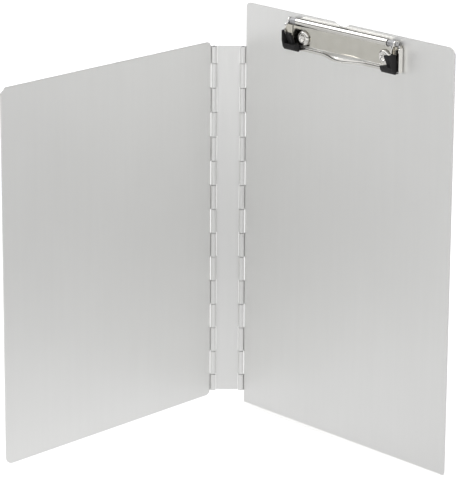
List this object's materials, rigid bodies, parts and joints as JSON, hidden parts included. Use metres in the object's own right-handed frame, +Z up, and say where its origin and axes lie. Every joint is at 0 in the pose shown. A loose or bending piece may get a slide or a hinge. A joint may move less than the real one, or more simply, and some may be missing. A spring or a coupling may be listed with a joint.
{
  "type": "folio clipboard",
  "caption": "Folio clipboard: a tall board with a low spring clip, hinged through a narrow spine to a shorter cover that closes over it.",
  "frame": {"origin": "middle of the bounding box in X and Y, on the surface that the board's foot edge stands on", "axes": "+Z up along the hinge pins; the spine lies along X at +Y; the cover comes forward to -X -Y and the board to +X -Y"},
  "size_m": [0.3324, 0.1716, 0.333],
  "materials": {
    "aluminium_sheet": "satin anodised, fine vertical brushing",
    "nickel_plate": "bright nickel plate over brushed steel",
    "steel_pin": "drawn wire",
    "black_rubber": "matt moulded rubber"
  },
  "bodies": {
    "board": {"board": "aluminium_sheet", "board_hinge_pin": "steel_pin", "clip_base_plate": "nickel_plate", "clip_pivot_rod": "steel_pin", "clip_rivet_left": "nickel_plate", "clip_rivet_right": "nickel_plate"},
    "lever": {"clip_lever": "nickel_plate", "clip_spring_left": "steel_pin", "clip_spring_right": "steel_pin", "lever_boot_left": "black_rubber", "lever_boot_right": "black_rubber"},
    "spine": {"spine": "aluminium_sheet", "cover_hinge_pin": "steel_pin"},
    "cover": {"cover": "aluminium_sheet"}
  },
  "joints": [
    {"name": "board_hinge", "type": "hinge", "parent": "board", "child": "spine", "pos_m": [0.01125, 0.08355, 0.1549], "axis": [0, 0, 1], "range_deg": [-138, 42]},
    {"name": "cover_hinge", "type": "hinge", "parent": "spine", "child": "cover", "pos_m": [-0.01125, 0.08355, 0.1549], "axis": [0, 0, 1], "range_deg": [-138, 42]},
    {"name": "clip_lever_pivot", "type": "hinge", "parent": "board", "child": "lever", "pos_m": [0.08627, -0.00298, 0.3274], "axis": [-0.6691, 0.7431, 0], "range_deg": [0, 90], "stiffness_Nm_per_rad": 0.1, "springref_deg": -85.94}
  ]
}
